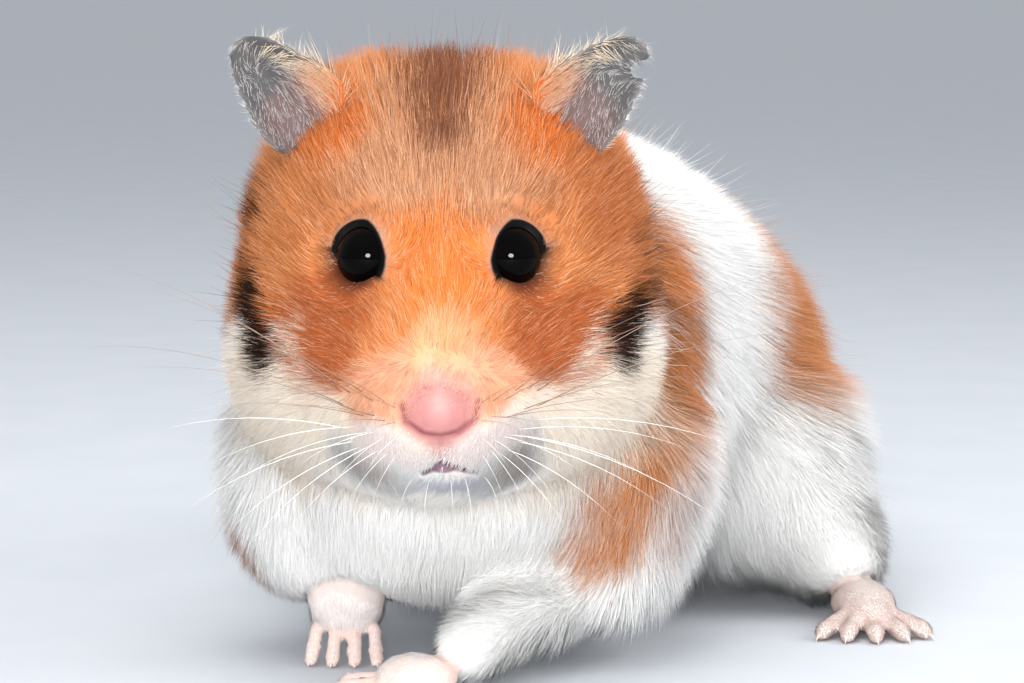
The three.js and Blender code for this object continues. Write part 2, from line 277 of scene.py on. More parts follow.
# %% Melt the body and draw it in
FLESH = ["head", "neck", "trunk", "foreleg_left", "foreleg_right", "hindleg_left", "hindleg_right"]
BARE_NODES = ["ear_left", "ear_right", "nose", "tail", *PALMS]
OVERLAP = 0.22 * MM
THINNED = 0.03 * MM
BODY_VOXEL = 0.9 * MM
SKIN_VOXEL = 0.43 * MM
body = joined_copy([*FLESH, "eye_left", "eye_right"], "skin")
apply_modifier(body, "DISPLACE", strength=OVERLAP, mid_level=0)
apply_modifier(body, "REMESH", mode="VOXEL", voxel_size=BODY_VOXEL)
apply_modifier(body, "SMOOTH", factor=0.5, iterations=22)
melted = points_of(body)
set_points(body, melted - normals_of(body) * coat_depth(melted)[:, None])
apply_modifier(body, "SMOOTH", factor=0.5, iterations=4)
print("drawn-in body:", len(body.data.vertices), "vertices")

# %% Join the bare parts
bare = joined_copy(BARE_NODES, "bare_parts")
apply_modifier(bare, "DISPLACE", strength=-THINNED, mid_level=0)
skin = join_all([body, bare])
skin.name = "skin"
apply_modifier(skin, "REMESH", mode="VOXEL", voxel_size=SKIN_VOXEL)
apply_modifier(skin, "SMOOTH", factor=0.5, iterations=3)
print("skin:", len(skin.data.vertices), "vertices,", len(skin.data.polygons), "faces")


# %% Keep only the outer surface
def loose_parts(piece):
    """For each vertex, the lowest vertex number of the connected part that it is in."""
    edges = read(piece.data.edges, "vertices", 2, int)
    label = np.arange(len(piece.data.vertices))
    while True:
        low = np.minimum(label[edges[:, 0]], label[edges[:, 1]])
        fresh = label.copy()
        np.minimum.at(fresh, edges[:, 0], low)
        np.minimum.at(fresh, edges[:, 1], low)
        fresh = fresh[fresh]
        if np.array_equal(fresh, label):
            return label
        label = fresh


def select_vertices(piece, wanted):
    """Leaves exactly the wanted vertices selected, ready for edit mode in vertex mode."""
    select_only(piece)
    for container in (piece.data.polygons, piece.data.edges):
        container.foreach_set("select", np.zeros(len(container), bool))
    piece.data.vertices.foreach_set("select", wanted)
    bpy.ops.object.mode_set(mode="EDIT")
    bpy.ops.mesh.select_mode(type="VERT")


def keep_largest_part(piece):
    label = loose_parts(piece)
    names, counts = np.unique(label, return_counts=True)
    print("loose parts:", sorted(counts.tolist(), reverse=True)[:6])
    select_vertices(piece, label != names[np.argmax(counts)])
    bpy.ops.mesh.delete(type="VERT")
    bpy.ops.object.mode_set(mode="OBJECT")


keep_largest_part(skin)

# %% [markdown]
# Most of the skin is hidden by the coat, and only its bare parts need small faces. Decimate thins
# a mesh, and a vertex group tells it where. After that the faces round the eyes and on the muzzle
# are cut finer again, because lids, nostrils and lips are only a few tenths of a millimetre thick.

# %% Thin the covered skin and refine the face
MUZZLE_MIDDLE = (0.5, -25, 32)
SKIN_RATIO = 0.34


def bareness(points):
    """1 on the ears, the paws, the muzzle and round the eyes, and 0 where the coat hides the skin."""
    bare_share = spot(points, MUZZLE_MIDDLE, (11, 9, 10), 0.3)
    for side in (-1, 1):
        bare_share = np.maximum(bare_share, spot(points, (side * 20, 0, 70), (9.5, 9, 11), 0.1))
        bare_share = np.maximum(bare_share, spot(points, EYES[side], (7, 7, 7), 0.3))
    for palm in PALMS.values():
        bare_share = np.maximum(bare_share, spot(points, palm, (13, 13, 9), 0.2))
    return bare_share


covered = skin.vertex_groups.new(name="covered")
cover_share = 1 - bareness(points_of(skin))
for number in np.nonzero(cover_share > 0.02)[0]:
    covered.add([int(number)], float(cover_share[number]), "REPLACE")
apply_modifier(skin, "DECIMATE", ratio=SKIN_RATIO, vertex_group="covered")


def refine(piece, middle, radius, cuts):
    select_vertices(piece, distance(points_of(piece), middle) < radius)
    bpy.ops.mesh.subdivide(number_cuts=cuts, smoothness=0)
    bpy.ops.object.mode_set(mode="OBJECT")


for eye_middle in EYES.values():
    refine(skin, eye_middle, 5.6, 3)
refine(skin, MUZZLE_MIDDLE, 7.5, 2)
print("skin now:", sum(len(p.vertices) - 2 for p in skin.data.polygons), "triangles")

# %% [markdown]
# A hamster's eye is a black ball that stands well out between thin lids. The opening is egg-shaped
# and narrower at the top. Every skin point near the eye is moved along its ray from the ball's
# middle: inside the opening it goes behind the ball, and outside it stays just over the ball, so
# that a lid with a rounded rim is left between the two.

# %% Lids
LID_THICKNESS = 0.28
LID_HALF_ANGLE = math.radians(66.5)


def gaze(side):
    return unit(np.array([side * 0.616, -0.788, 0.052]))


def opening(side, rays):
    """How far each ray from the eye's middle is outside the opening's edge, in radians."""
    ahead = gaze(side)
    up = unit(np.array([0, 0, 1]) - ahead[2] * ahead)
    noseward = np.cross(up, ahead) * -side
    off_axis = np.arccos(np.clip(rays @ ahead, -1, 1))
    turn = np.arctan2(rays @ noseward, rays @ up)
    edge = LID_HALF_ANGLE - 0.08 * np.sin(turn) ** 2 + 0.02 * np.cos(turn)
    edge = edge + 0.04 * np.exp(-((turn - 0.2) / 0.6) ** 2) - 0.13 * np.exp(-((turn + 0.95) / 0.5) ** 2)
    return off_axis - edge


def seen_from_eye(points, side):
    """Each point's ray and distance from an eye's middle, and how far outside the opening it is."""
    away = points - EYES[side]
    reach = np.linalg.norm(away, axis=1)
    rays = away / reach[:, None]
    return rays, reach, opening(side, rays)


def shape_lids(points):
    for side, middle in EYES.items():
        rays, reach, outside = seen_from_eye(points, side)
        near = (reach < EYE_RADIUS + 3.2) & (((points - middle) @ gaze(side)) > -1.5)
        past = np.clip(outside, 0, None)
        lid = EYE_RADIUS + LID_THICKNESS * np.exp(-np.clip(past - 0.08, 0, None) / 0.5)
        over_ball = np.clip(reach, lid, lid + 0.25 + 2.6 * past + 4 * past ** 2)
        rim = step(outside, 0.01, 0.16)
        inside_ball = EYE_RADIUS - 0.55
        shaped = inside_ball + (over_ball - inside_ball) * rim
        fresh = middle + rays * shaped[:, None]
        points = np.where(near[:, None], fresh, points)
    return points


set_points(skin, shape_lids(points_of(skin)))

# %% [markdown]
# The nose pad ends below in a crescent, with a nostril at each end. Under it a short groove leads
# to the mouth, an upside-down V with a small lower lip. These lines are pressed into the skin by
# moving points backwards near a few drawn lines.

# %% Nostrils and mouth
NOSTRIL_LINE = [(-3.5, 35.2), (-3.1, 33.4), (-1.2, 32.1), (0.6, 31.8), (2.5, 32.2), (4.3, 33.6), (4.8, 35.6)]
GROOVE_LINE = [(0.6, 31.6), (0.7, 30.6), (0.8, 29.4)]
MOUTH_LINE = [(-1.3, 27.6), (-0.3, 28.1), (0.8, 29.1), (2.1, 28.3), (3.4, 27.8), (4.6, 27.5)]


def front_line(points, corners, width, softness):
    """A streak seen from the front, on the muzzle only."""
    flat = points.copy()
    flat[:, 1] = 0
    corners = [(x, 0, z) for x, z in corners]
    on_muzzle = 1 - step(points[:, 1], -21, 2)
    return streak(flat, corners, width, softness) * on_muzzle


def shape_muzzle(points):
    press = 0.22 * front_line(points, NOSTRIL_LINE, 0.2, 0.8)
    press = np.maximum(press, 0.2 * front_line(points, GROOVE_LINE, 0.1, 0.4))
    press = np.maximum(press, 0.5 * front_line(points, MOUTH_LINE, 0.2, 0.6))
    above_pad = spot(points, (0.5, -25.5, 38.2), (4.5, 5, 3.4), 1.2)
    beside_pad = spot(points, (0.5, -24.5, 34), (8.5, 4, 4), 0.9)
    pad = spot(points, (0.6, -27.2, 34.2), (3.4, 4, 2.6), 0.9)
    lip = spot(points, (1.0, -25.4, 26.9), (2.6, 2, 1.0), 0.8)
    points = points.copy()
    points[:, 1] += press + 0.8 * pad - 0.5 * above_pad - 0.3 * beside_pad - 0.5 * lip
    return points


set_points(skin, shape_muzzle(points_of(skin)))
select_only(skin)
bpy.ops.object.shade_smooth()

# %% [markdown]
# Most of the markings are the animal's own pattern: an orange face, black flashes and cream
# crescents behind the cheeks, a white collar, and an orange-brown rump. Some layers are painted
# light and shade: highlights on the nose and on its bridge, shade under the muzzle and the whisker
# pads, and shade low on the right shoulder. One function gives the colour at any point of the
# body, in layers of soft spots and streaks, and both the skin and the coat read it, so that they
# always agree.

# %% Named colours
def hue(red, green, blue):
    """A colour as it looks on a screen, 0 to 255, as the linear light that Blender mixes."""
    share = np.array([red, green, blue]) / 255
    return np.where(share <= 0.04045, share / 12.92, ((share + 0.055) / 1.055) ** 2.4)


WHITE = hue(250, 249, 246)
CREAM = hue(244, 230, 212)
ORANGE = hue(212, 130, 76)
DEEP_ORANGE = hue(214, 110, 44)
PEACH = hue(200, 146, 110)
BRIDGE_ORANGE = hue(228, 126, 60)
# Painted highlight on the bridge of the nose.
BRIDGE_HIGHLIGHT = hue(226, 166, 120)
MUZZLE_PEACH = hue(222, 158, 124)
RED_BROWN = hue(176, 88, 46)
TICKED_BROWN = hue(158, 98, 64)
RUMP_BROWN = hue(196, 124, 74)
SHOULDER_BROWN = hue(158, 98, 62)
CROWN_BROWN = hue(104, 62, 46)
FLASH_BLACK = hue(30, 17, 12)
LIP_WHITE = hue(222, 208, 204)
# Grey of the lower lip and chin, darkened further as painted shade under the muzzle.
LIP_GREY_AND_SHADE = hue(176, 176, 186)
# Painted shadow under the whisker pads, over the darker fur there.
PAD_SHADOW_AND_DARK_FUR = hue(112, 88, 74)
EAR_GREY = hue(80, 78, 78)
EAR_RIM = hue(132, 128, 125)
EAR_INSIDE = hue(104, 82, 80)
# Painted highlight: the pale pink streak down the middle of the nose.
NOSE_HIGHLIGHT_PINK = hue(240, 196, 184)
PINK_DOWN = hue(226, 162, 142)
NOSE_PINK = hue(188, 128, 124)
NOSTRIL_PINK = hue(136, 72, 78)
PAW_PINK = hue(226, 198, 188)
MOUTH_DARK = hue(96, 74, 84)
LID_DARK = hue(5, 4, 4)
LID_GREY = hue(132, 112, 104)


def paint(under, color, share):
    return under + (color - under) * share[:, None]


def paint_spots(tone, points, *layers):
    """Lays soft spots over each other: colour, share, middle, radii and softness of each."""
    for color, share, middle, radii, softness in layers:
        tone = paint(tone, color, share * spot(points, middle, radii, softness))
    return tone


# %% Markings of the body, with painted shade low on the right shoulder
def mirrored(corners, side):
    return [(side * x, y, z) for x, y, z in corners]


def body_markings_and_shade(tone, p):
    rump = step(np.maximum(p[:, 0] - 41, p[:, 1] - 51), 1, 5) * step(p[:, 2], 26.8, 8)
    tone = paint(tone, RUMP_BROWN, rump)
    tone = paint_spots(tone, p, (ORANGE, 1, (2, 9, 62), (27, 12, 17), 0.3))
    for side in (-1, 1):
        stripe = [(29, 13, 50), (30, 13, 40), (31, 11, 30)]
        tone = paint(tone, SHOULDER_BROWN, streak(p, mirrored(stripe, side), 3.6, 3))
    shoulder = [(29, 8, 34), (25.5, -1, 27), (21.5, -4, 20.5), (19, -5.5, 16.5)]
    tone = paint(tone, RUMP_BROWN, streak(p, shoulder, 5.4, 5.5))
    edge = [(31, 12, 31), (32, 5, 22), (27, -1, 14)]
    tone = paint(tone, RED_BROWN, 0.5 * streak(p, edge, 2.2, 4))
    return paint_spots(
        tone, p,
        # orange-brown fur low on the right shoulder, darkened as painted shade under the elbow
        (SHOULDER_BROWN, 1, (-25, 12, 12), (6, 8, 6), 0.6),
        (RUMP_BROWN, 0.7, (-17.7, -5, 24.9), (3, 5, 2.4), 0.8),
        (PEACH, 0.4, (-3.1, -8.1, 20.5), (1.6, 4, 1.4), 0.9),
    )


# %% Markings of the face
def cheek_markings(tone, p, side):
    """The cheek, its pale crescent, the dark flash behind it, and the brow on one side."""
    tone = paint_spots(tone, p, (RED_BROWN, 0.85, (side * 13.8, -16.5, 42), (7.6, 9, 6.5), 0.6))
    crescent = mirrored([(18.4, -13, 42.5), (16.8, -15.7, 38.9), (13.5, -18.7, 35.5)], side)
    tone = paint(tone, CREAM, streak(p, crescent, 0.8, 1.6))
    behind = mirrored([(25, 7, 56), (26, 5, 47), (26, 2, 41)], side)
    tone = paint(tone, SHOULDER_BROWN, 0.9 * streak(p, behind, 3.5, 3))
    flash = mirrored([(24.6, 1, 58), (25.2, -2.5, 51), (24.6, -6, 45), (21, -10.8, 40)], side)
    flash = [(x + 0.8 * (side + 1), y, z) for x, y, z in flash]
    tone = paint(tone, FLASH_BLACK, streak(p, flash, 3.8, 2.0))
    flash_end = mirrored([(26.6, 6, 57), (27.4, 3, 50), (27, 0, 44)], side)
    tone = paint(tone, FLASH_BLACK, 0.9 * streak(p, flash_end, 2.4, 2))
    return paint_spots(
        tone, p,
        (DEEP_ORANGE, 1, (side * 11.5, -6, 65), (5.5, 8, 5), 0.7),
        (TICKED_BROWN, 0.6, (side * 9, -15.5, 57), (5.8, 7, 4.4), 1.0),
        (PEACH, 0.75, (side * 5.6, -4, 67.5), (3.2, 9, 6), 0.9),
    )


def face_markings(tone, p):
    beside = np.abs(p[:, 0])
    lower_edge = np.minimum(36.3 + 0.04 * np.clip(beside - 9, 0, None) ** 2, 42)
    on_face = 1 - step(p[:, 1], 15, 6)
    tone = paint_spots(
        tone, p,
        (CREAM, on_face, (0, -10, 32), (32, 26, 13), 0.3),
        (WHITE, 0.7, (0, -14, 25), (14, 16, 6), 0.8),
    )
    tone = paint(tone, ORANGE, step(p[:, 2], lower_edge, 3) * on_face)
    for side in (-1, 1):
        tone = cheek_markings(tone, p, side)
    return paint_spots(
        tone, p,
        (PEACH, 0.8, (0, -13, 61), (12, 9, 5.5), 0.8),
        (RED_BROWN, 0.5, (21, -6, 57), (6, 8, 8), 0.8),
        (BRIDGE_ORANGE, 1, (0.4, -19.5, 50.5), (5.5, 7, 7), 0.8),
    )


# %% Markings of the muzzle, with painted highlights and shade
MUZZLE_SPOTS = [
    (MUZZLE_PEACH, 1, (0.5, -22, 36.8), (11.4, 9, 5.3), 0.4),
    # painted highlight on the bridge of the nose
    (BRIDGE_HIGHLIGHT, 1, (0.5, -25, 41), (2.8, 6, 4.6), 1.2),
    (PINK_DOWN, 0.85, (0.5, -27, 36.2), (3.8, 6, 4.2), 0.8),
    # painted highlight down the middle of the nose
    (NOSE_HIGHLIGHT_PINK, 0.45, (0.4, -28, 37), (1.3, 5, 3.2), 1.4),
    # the white round the mouth is dimmed as painted shade under the muzzle
    (WHITE * 0.6, 1, (0.5, -23, 28), (14, 8, 5), 0.4),
    (LIP_WHITE, 1, (-4.4, -25, 31.2), (4.6, 6, 2.4), 0.8),
    (LIP_WHITE, 1, (5.6, -25, 31.2), (4.6, 6, 2.4), 0.8),
    # painted shadow under the whisker pads, over the darker fur there
    (PAD_SHADOW_AND_DARK_FUR, 0.5, (-7.1, -20.5, 27.6), (3, 4.5, 2), 1.1),
    (PAD_SHADOW_AND_DARK_FUR, 0.5, (8.9, -20.5, 27.6), (3, 4.5, 2), 1.1),
    # grey lower lip and chin, darkened further as painted shade under the muzzle
    (LIP_GREY_AND_SHADE, 0.8, (1.0, -25, 26), (4.6, 5, 2.0), 0.7),
]


# %% All the markings, with the painted light and shade
def markings_and_painted_light(points):
    p = points + 1.3 * np.stack([ripple(points, 9, seed) for seed in (1, 2, 3)], axis=1)
    tone = np.repeat(WHITE[None], len(p), axis=0)
    tone = face_markings(body_markings_and_shade(tone, p), p)
    half_width = 5.4 * np.clip((p[:, 2] - 61) / 9, 0, 1) ** 0.8
    half_width = half_width + 1.6 * ripple(points, 2.0, 8) * (half_width > 0)
    crown = (1 - step(np.abs(p[:, 0] - 0.2), half_width, 3)) * step(p[:, 2], 62, 3)
    tone = paint(tone, CROWN_BROWN, 0.9 * crown * (1 - step(p[:, 1], 22, 8)))
    return paint_spots(tone, p, *MUZZLE_SPOTS)


# %% [markdown]
# An ear is a thin leaf with a dark inside, paler hairs along its rim, and a fringe of long cream
# hairs on the edge towards the crown. To place these, each point near an ear is measured along
# the leaf from its root and across it from its middle line.

# %% Places on an ear
EAR_ROOT = np.array([12.1, -2.8, 62.4])
EAR_ALONG = unit(np.array([0.72, 0.02, 0.69]))
EAR_FACING = unit(np.array([0.3, -0.93, 0.2]))
EAR_LENGTH = 16.2
EAR_WIDTH = 11.6


def on_ear(points):
    """How far up its ear each point is, from 0 to 1, and how far across, 1 at the outer edge."""
    from_root = np.abs(points * [1, 0, 0]) + points * [0, 1, 1] - EAR_ROOT
    up_ear = from_root @ EAR_ALONG / EAR_LENGTH
    facing = unit(EAR_FACING - EAR_ALONG * (EAR_FACING @ EAR_ALONG))
    outward = from_root @ np.cross(EAR_ALONG, facing)
    centred = np.clip(2 * up_ear - 1, -0.97, 0.97)
    taper = np.where(outward > 0, 0.9, 0.72)
    half_width = np.sqrt(1 - centred ** 2) * EAR_WIDTH / 2
    half_width = half_width * (1.32 + 0.15 * centred ** 2 - taper * np.clip(up_ear, 0, 1))
    return up_ear, outward / half_width


def ear_rim(points):
    up_ear, across_ear = on_ear(points)
    return np.maximum(step(np.abs(across_ear), 0.88, 0.22), step(up_ear, 0.95, 0.08))


def ear_fringe(points):
    """1 on the edge towards the crown, where long hairs grow."""
    up_ear, across_ear = on_ear(points)
    return step(-across_ear, 0.55, 0.5) * (1 - step(up_ear, 0.9, 0.3)) * (points[:, 2] > 60)


# %% Colours of the bare skin
def skin_tones(points, ears, paws, tail):
    tone = markings_and_painted_light(points) * 0.92
    tone = tone * (1 - 0.28 * spot(points, (0.6, -26, 30.6), (7, 5, 3), 0.8))[:, None]
    tone = paint(tone, EAR_GREY, ears)
    tone = paint(tone, EAR_RIM, ears * ear_rim(points))
    for side in (-1, 1):
        tone = paint_spots(tone, points, (EAR_INSIDE, ears, (side * 16.5, -4, 65), (3.5, 4, 3.5), 0.9))
        _, reach, outside = seen_from_eye(points, side)
        ring = (1 - step(outside, 0.16, 0.16)) * (reach < EYE_RADIUS + 1.5)
        tone = paint(tone, LID_GREY, ring * (0.65 + 0.35 * ripple(points, 0.7, 51)))
        rim = (1 - step(outside, 0.095, 0.05)) * (reach < EYE_RADIUS + 1.2)
        tone = paint(tone, LID_DARK, rim)
    tone = paint_spots(
        tone, points,
        (NOSE_PINK, 1, (0.6, -27, 34.6), (4.2, 5, 3.6), 0.6),
        # painted highlight down the middle of the nose pad
        (NOSE_HIGHLIGHT_PINK, 0.2, (0.5, -28, 35.4), (1.0, 4, 2.2), 1.6),
    )
    tone = paint(tone, NOSTRIL_PINK, front_line(points, NOSTRIL_LINE, 0.25, 0.9))
    tone = paint_spots(tone, points, (NOSE_PINK * 0.75, 0.6, (0.6, -26, 30.8), (1.6, 3, 1.4), 0.8))
    tone = paint(tone, MOUTH_DARK, front_line(points, MOUTH_LINE, 0.25, 0.4))
    tone = paint_spots(tone, points, (MOUTH_DARK * 1.6, 1, (0.9, -25.6, 28.2), (1.3, 3, 0.55), 0.5))
    tone = paint(tone, PAW_PINK, np.maximum(paws, tail))
    tone = tone * (1 - 0.33 * paws * step(points[:, 1], 12, 4))[:, None]
    return paint(tone, hue(214, 204, 198), 0.8 * paws * step(points[:, 2], 5, 2.5))


def write_color(piece, name, tones):
    layer = piece.data.attributes.new(name, "FLOAT_COLOR", "POINT")
    rgba = np.ones((len(tones), 4), np.float32)
    rgba[:, :3] = tones
    layer.data.foreach_set("color", rgba.ravel())


def write_value(piece, name, values):
    layer = piece.data.attributes.new(name, "FLOAT", "POINT")
    layer.data.foreach_set("value", values.astype(np.float32))


# %% [markdown]
# Ears, paws and tail have their own fine down, so later steps must know where they are. The frame
# still holds those nodes, and a search tree tells how far each point of the skin is from them.

# %% Where the bare parts are
def tree_of(names):
    corners, faces = [], []
    for name in names:
        mesh = nodes[name].data
        start = len(corners)
        corners.extend(tuple(v.co) for v in mesh.vertices)
        faces.extend(tuple(start + i for i in p.vertices) for p in mesh.polygons)
    return BVHTree.FromPolygons(corners, faces)


def nearness(points, names, reach):
    """1 on the named nodes and 0 beyond a reach from them, in mm."""
    tree = tree_of(names)
    share = np.zeros(len(points))
    for number, place in enumerate(to_row(points)):
        found = tree.find_nearest(Vector(place), reach * MM)
        if found[3] is not None:
            share[number] = 1 - found[3] / (reach * MM)
    return share


skin_points = points_of(skin)
leaf_share = step(nearness(skin_points, ["ear_left", "ear_right"], 1.0), 0.35, 0.4)
up_ear, across_ear = on_ear(skin_points)
inner_root = step(-across_ear, 0.3, 0.9) * (1 - step(up_ear, 0.42, 0.4))
ear_share = leaf_share * (1 - inner_root)
paw_share = step(nearness(skin_points, list(PALMS), 1.0), 0.35, 0.4)
tail_share = step(nearness(skin_points, ["tail"], 1.0), 0.35, 0.4)
print("points on ears, paws and tail:", [int((s > 0.5).sum()) for s in (ear_share, paw_share, tail_share)])
write_color(skin, "markings_and_painted_light", skin_tones(skin_points, ear_share, paw_share, tail_share))

# %% [markdown]
# A coat lies in streams. On the head they run back from the nose, and on the body from nape to
# rump and down the legs. The streams are drawn as a few combed places, each with its own way, and
# a hair between them follows the nearest ones. Round the eyes the streams part, so that no hair
# crosses the opening.

# %% The lie of the coat
COMBED = [
    ((0, 20, 66), (0.3, 1, -0.2)),
    ((16, 45, 60), (0.42, 0.9, -0.2)),
    ((25, 70, 50), (0.42, 0.8, -0.6)),
    ((32, 88, 25), (0.3, 0.3, -1)),
    ((42, 30, 42), (0.4, 0.5, -0.8)),
    ((46, 55, 38), (0.4, 0.5, -0.8)),
    ((-10, 42, 35), (0, 0.6, -0.8)),
    ((0, -6, 22), (0, 0.1, -1)),
    ((0, 0, 9), (0, 0.6, -0.7)),
    ((32, 10, 32), (0.25, 0.25, -1)),
    ((-26, 10, 30), (-0.2, 0.2, -1)),
    ((27, 0, 16), (-0.35, -0.25, -0.9)),
    ((13, -9, 8), (-0.8, -0.55, -0.15)),
    ((2, -15, 5), (-0.9, -0.4, -0.2)),
    ((-17, -1, 18), (0.15, -0.1, -1)),
    ((-11, 2, 8), (0.1, -0.5, -0.8)),
    ((47, 36, 22), (0.3, -0.3, -0.9)),
    ((52, 32, 8), (0.15, -0.7, -0.6)),
    ((52, 24, 3), (0.1, -1, 0)),
    ((-10, 58, 20), (-0.1, -0.3, -1)),
    ((-9, 50, 3), (-0.3, -0.9, 0)),
    ((12, 35, 2), (0.35, 0.9, 0)),
]
NOSE_ROOT = np.array([0.5, -33.0, 34.0])


def lie(points, normals):
    """The way that the hairs lie, along the skin."""
    weight_sum = np.zeros(len(points))
    body_way = np.zeros_like(points)
    for place, way in COMBED:
        weight = 1 / (((points - np.array(place)) ** 2).sum(1) + 9) ** 2
        body_way += weight[:, None] * unit(np.array(way, float))
        weight_sum += weight
    body_way /= weight_sum[:, None]
    head_way = unit(points - NOSE_ROOT)
    head_way[:, 2] -= 0.35 * step(np.abs(points[:, 0]), 14, 12) * (1 - step(points[:, 2], 44, 14))
    on_head = spot(points, (0, -3, 49), (30, 24, 28), 0.25)[:, None]
    way = head_way * on_head + unit(body_way) * (1 - on_head)
    swirl = np.stack([ripple(points, 7, seed) for seed in (11, 12, 13)], axis=1)
    fine_swirl = np.stack([ripple(points, 2.2, seed) for seed in (21, 22, 23)], axis=1)
    way = way + 0.16 * swirl + 0.15 * fine_swirl
    for middle in EYES.values():
        to_eye = unit(middle - points)
        near = 1 - step(distance(points, middle), 6.5, 4)
        toward = np.clip((way * to_eye).sum(1), -0.45, None) + 0.45
        way = way - to_eye * (near * toward * 1.6)[:, None]
    way = way - normals * (way * normals).sum(1, keepdims=True)
    return unit(way)


# %% [markdown]
# The hairs' roots are scattered over the skin at random, many where the hair is fine and few where
# it is long. Each root also takes its place on an unwrap of the skin, where its tuft later gets a
# small patch of its own.

# %% Unwrap the skin
UV_MAP = "OFBake"
select_only(skin)
bpy.ops.object.mode_set(mode="EDIT")
bpy.ops.mesh.select_all(action="SELECT")
bpy.ops.uv.smart_project(angle_limit=1.15, island_margin=0.002)
bpy.ops.object.mode_set(mode="OBJECT")
skin.data.uv_layers.active.name = UV_MAP

# %% How many roots
HEAD_DENSITY = 30
BODY_DENSITY = 17
EAR_DENSITY = 7
PAW_DENSITY = 30


def on_head(points):
    return spot(points, (0, -5, 46), (31, 27, 33), 0.02) > 0.5


def hairiness(points, ears, paws):
    """Roots on each square millimetre."""
    depth = coat_depth(points)
    body_density = BODY_DENSITY - 2.5 * step(depth, 3, 2)
    density = np.where(on_head(points), HEAD_DENSITY - 6 * depth, body_density)
    density = density + (EAR_DENSITY * (1 + 1.6 * ear_rim(points)) - density) * ears
    density = density + (PAW_DENSITY - density) * paws
    bald = spot(points, (0.6, -27.6, 33.4), (3.6, 4, 2.2), 0.5)
    bald = np.maximum(bald, front_line(points, MOUTH_LINE, 0.4, 0.3))
    for side in EYES:
        _, reach, outside = seen_from_eye(points, side)
        bald = np.maximum(bald, (reach < EYE_RADIUS + 1.5) & (outside < 0.1))
    on_floor = 1 - step(points[:, 2], 0.9, 0.8)
    return density * (1 - bald) * (1 - on_floor)


def triangles_of(piece):
    """The vertex numbers and the loop numbers of each triangle's corners."""
    piece.data.calc_loop_triangles()
    return [read(piece.data.loop_triangles, field, 3, np.int32) for field in ("vertices", "loops")]


# %% Scatter the roots
corners, loops = triangles_of(skin)
skin_normals = normals_of(skin)
spread = skin_points[corners]
area = np.linalg.norm(np.cross(spread[:, 1] - spread[:, 0], spread[:, 2] - spread[:, 0]), axis=1) / 2
wanted = area * hairiness(spread.mean(1), ear_share[corners].mean(1), paw_share[corners].mean(1))
tuft_count = int(wanted.sum())
chosen = np.searchsorted(np.cumsum(wanted), rng.random(tuft_count) * wanted.sum())
chosen = np.minimum(chosen, len(wanted) - 1)
mix = np.sqrt(rng.random(tuft_count))
split = rng.random(tuft_count)
shares = np.stack([1 - mix, mix * (1 - split), mix * split], axis=1)


def at_roots(values):
    """Values kept on the skin's points, read at each root."""
    held = values[corners[chosen]]
    return np.einsum("nk,nk...->n...", shares, held)


skin_uv = read(skin.data.uv_layers[UV_MAP].data, "uv", 2, np.float32)
root_uv = np.einsum("nk,nkc->nc", shares, skin_uv[loops[chosen]])
roots = at_roots(skin_points)
root_normals = unit(at_roots(skin_normals))
root_ear = at_roots(ear_share)
root_leaf = at_roots(leaf_share)
root_paw = np.maximum(at_roots(paw_share), at_roots(tail_share))
print("skin area:", int(area.sum()), "square mm, tufts:", tuft_count)

# %% [markdown]
# One tuft is a thin closed spike: a triangle at the root and a tip, laid at a slant over the skin.
# On the head, ears and paws it is finer than on the body. All tufts are worked out together as
# arrays, because modelling hundreds of thousands of them one by one would take hours. A few stray
# hairs are longer and stand up. Tufts that start close to each other lean together at their tips,
# as real hair does when it forms locks.

# %% Size and slant of each tuft
depth = coat_depth(roots)
depth = depth * (1 - root_leaf) + np.minimum(depth, 1.7) * root_leaf
fine = on_head(roots) | (root_ear > 0.5) | (root_paw > 0.5)
length = 0.75 + 2.0 * depth
fringe = ear_fringe(roots)
length = length * (1 - root_ear) + (1.3 + 1.6 * fringe) * root_ear
length = length * (1 - root_paw) + (0.8 + 1.3 * step(roots[:, 2], 5, 3)) * root_paw
length = length * (1 - 0.5 * spot(roots, (0.6, -27.6, 34.5), (4.5, 4, 4), 0.6))
for middle in EYES.values():
    length = length * (0.45 + 0.55 * step(distance(roots, middle), 5.4, 3))
length = length * rng.uniform(0.7, 1.25, tuft_count)
width = (0.085 + np.where(fine, 0.015, 0.016) * depth) * rng.uniform(0.8, 1.2, tuft_count)
width = np.where(root_ear > 0.5, 0.055, width)
slant = np.arcsin(np.clip(depth / length, 0.12, 0.6)) * rng.uniform(0.6, 1.35, tuft_count)
slant = slant * (1 - 0.3 * root_ear) * (1 - 0.5 * root_paw) * np.where(fine, 1, 1.35)
slant = slant * (1 + 0.35 * spot(roots, (0, 4, 70), (17, 14, 9), 0.5))
for side in (-1, 1):
    slant = slant * (1 + 0.5 * spot(roots, (side * 23, 2, 57), (7, 10, 8), 0.6))

# %% Stray hairs
STRAY_SHARE = 0.012
stray = (rng.random(tuft_count) < STRAY_SHARE) & (root_paw < 0.5) & (roots[:, 1] > -20)
length = np.where(stray, length * np.where(fine, 1.8, 1.4), length)
slant = np.where(stray, slant * 1.6, slant)
width = np.where(stray, width * 0.6, width)

# %% The way of each tuft
SUNK = 0.12
BEND = 0.55
along = lie(roots, root_normals)
scatter = rng.normal(size=(tuft_count, 3)) * 0.13
along = unit(along + scatter - root_normals * (scatter * root_normals).sum(1, keepdims=True))
across = np.cross(along, root_normals)


def leaning(angle):
    return along * np.cos(angle)[:, None] + root_normals * np.sin(angle)[:, None]


starts = roots - root_normals * SUNK
bends = starts + leaning(slant * 1.35) * (length * BEND)[:, None]
tips = bends + leaning(slant * 0.45) * (length * (1 - BEND))[:, None]


